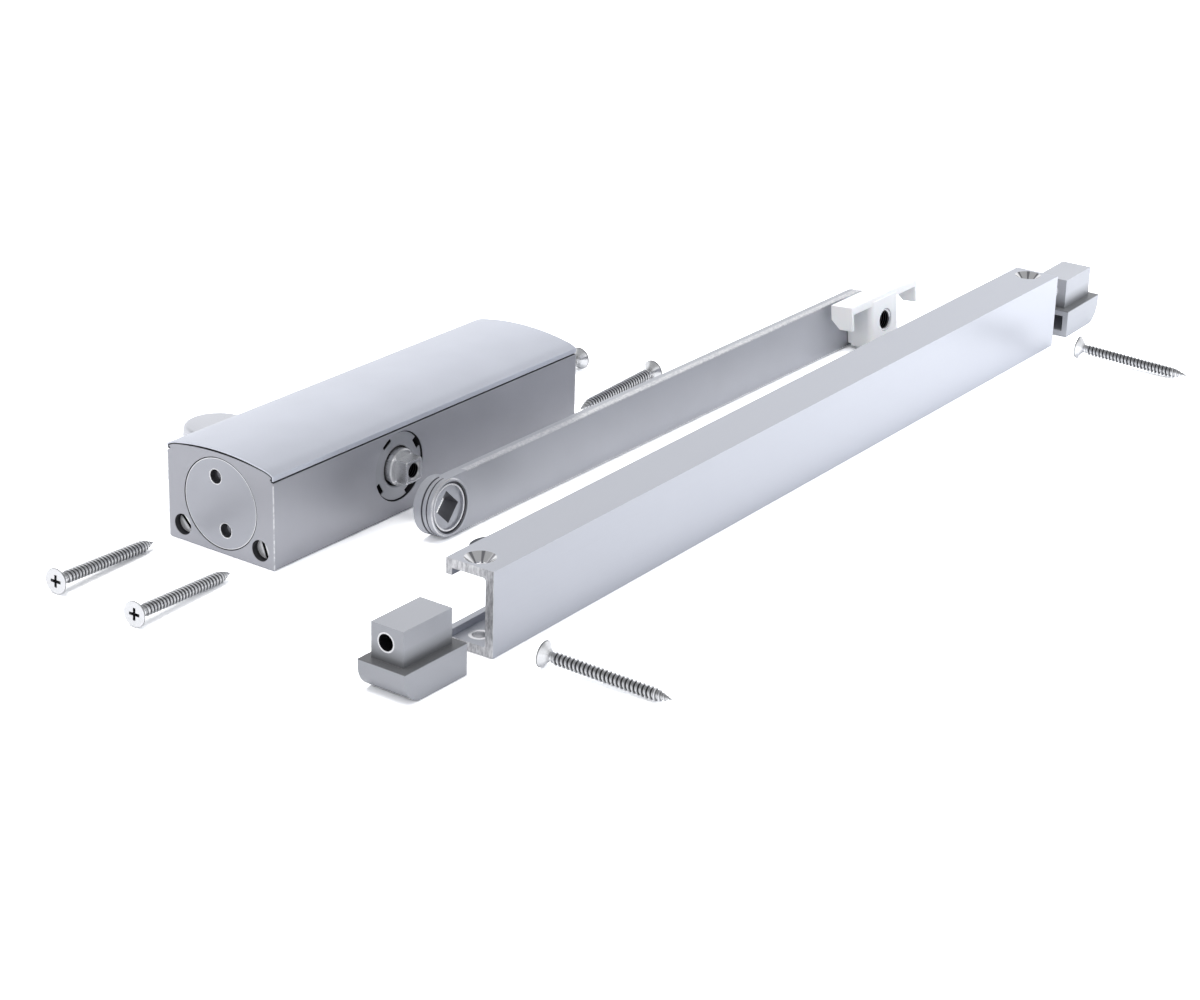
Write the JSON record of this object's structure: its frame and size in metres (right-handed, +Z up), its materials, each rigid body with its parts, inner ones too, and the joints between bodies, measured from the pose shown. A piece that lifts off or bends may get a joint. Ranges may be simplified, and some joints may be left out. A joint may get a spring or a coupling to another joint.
{
  "type": "slide arm door closer",
  "caption": "Slide arm door closer laid out as a set: crowned body with rack and pinion spindle, lever arm with slider, slotted track, end caps, cover caps and fixing screws.",
  "frame": {"origin": "centre of the body's mounting face, which lies on the table", "axes": "+X along the body from its regulating valves to its spring end, +Y to the back of the set away from the arm, +Z up from the table"},
  "size_m": [0.502, 0.276, 0.0395],
  "materials": {
    "body_paint": "satin silver paint",
    "cover_paint": "satin silver paint on thin sheet",
    "arm_paint": "satin silver paint",
    "track_metal": "fine brushed and anodised",
    "cap_paint": "satin grey paint",
    "nylon": "moulded white nylon",
    "pin_steel": "turned",
    "spindle_steel": "ground",
    "valve_steel": "turned",
    "rubber_black": "matt",
    "bearing_steel": "drawn and ground",
    "piston_iron": "machined",
    "spring_steel": "oiled spring wire",
    "valve_brass": "turned",
    "ball_chrome": "polished",
    "cap_silver": "silver moulding",
    "cap_dark": "dark grey moulding",
    "screw_dark": "phosphated",
    "screw_bright": "bright plated"
  },
  "bodies": {
    "closer": {"housing": "body_paint", "near_end_plug": "body_paint", "far_end_plug": "body_paint", "near_plug_seal": "rubber_black", "far_plug_seal": "rubber_black", "front_bearing_nut": "body_paint", "back_bearing_nut": "body_paint", "front_bearing": "bearing_steel", "back_bearing": "bearing_steel", "front_spindle_seal": "rubber_black", "back_spindle_seal": "rubber_black", "outer_spring": "spring_steel", "inner_spring": "spring_steel"},
    "cover": {"cover": "cover_paint"},
    "spindle": {"spindle": "spindle_steel"},
    "piston": {"piston": "piston_iron", "piston_ring": "rubber_black", "check_valve_seat": "valve_brass", "check_valve_ball": "ball_chrome"},
    "sweep_valve": {"sweep_valve": "valve_steel", "sweep_valve_seal": "rubber_black"},
    "latch_valve": {"latch_valve": "valve_steel", "latch_valve_seal": "rubber_black"},
    "arm": {"arm": "arm_paint", "slider_pin": "pin_steel"},
    "slider": {"slider": "nylon"},
    "track": {"track": "track_metal"},
    "near_end_cap": {"near_end_cap": "cap_paint"},
    "far_end_cap": {"far_end_cap": "cap_paint"},
    "spindle_cap": {"spindle_cap": "cap_silver"},
    "hub_cap": {"hub_cap": "cap_dark"},
    "arm_screw": {"arm_screw": "screw_dark"},
    "fixing_screws": {"fixing_screws": "screw_bright"}
  },
  "joints": [
    {"name": "spindle_turn", "type": "hinge", "parent": "closer", "child": "spindle", "pos_m": [-0.0197, 0, 0.019], "axis": [0, 1, 0], "range_deg": [0, 170]},
    {"name": "piston_slide", "type": "slide", "parent": "closer", "child": "piston", "axis": [1, 0, 0], "range_m": [0, 0.02225], "stiffness_N_per_m": 19700, "deforming": ["outer_spring", "inner_spring"]},
    {"name": "cover_slide", "type": "slide", "parent": "closer", "child": "cover", "axis": [1, 0, 0], "range_m": [0, 0.165]},
    {"name": "sweep_valve_turn", "type": "hinge", "parent": "closer", "child": "sweep_valve", "pos_m": [-0.0875, 0.01865, 0.0061], "axis": [1, 0, 0], "range_deg": [-180, 180]},
    {"name": "latch_valve_turn", "type": "hinge", "parent": "closer", "child": "latch_valve", "pos_m": [-0.0875, -0.01865, 0.0061], "axis": [1, 0, 0], "range_deg": [-180, 180]},
    {"name": "arm_lift", "type": "slide", "parent": "closer", "child": "arm", "axis": [0, 0, 1], "range_m": [0, 0.05]},
    {"name": "slider_pivot", "type": "hinge", "parent": "arm", "child": "slider", "pos_m": [0.2549, -0.05998, 0.01226], "axis": [0, 0.9962, -0.0872], "range_deg": [-90, 90]},
    {"name": "track_lift", "type": "slide", "parent": "closer", "child": "track", "axis": [0, 0, 1], "range_m": [0, 0.05]},
    {"name": "near_end_cap_lift", "type": "slide", "parent": "closer", "child": "near_end_cap", "axis": [0, 0, 1], "range_m": [0, 0.05]},
    {"name": "far_end_cap_lift", "type": "slide", "parent": "closer", "child": "far_end_cap", "axis": [0, 0, 1], "range_m": [0, 0.05]},
    {"name": "spindle_cap_lift", "type": "slide", "parent": "closer", "child": "spindle_cap", "axis": [0, 0, 1], "range_m": [0, 0.05]},
    {"name": "hub_cap_lift", "type": "slide", "parent": "closer", "child": "hub_cap", "axis": [0, 0, 1], "range_m": [0, 0.05]},
    {"name": "arm_screw_lift", "type": "slide", "parent": "closer", "child": "arm_screw", "axis": [0, 0, 1], "range_m": [0, 0.05]},
    {"name": "fixing_screws_lift", "type": "slide", "parent": "closer", "child": "fixing_screws", "axis": [0, 0, 1], "range_m": [0, 0.05]}
  ],
  "couplings": [
    {"joint": "spindle_turn", "follows": "piston_slide", "rad_per_m": 133.33}
  ]
}
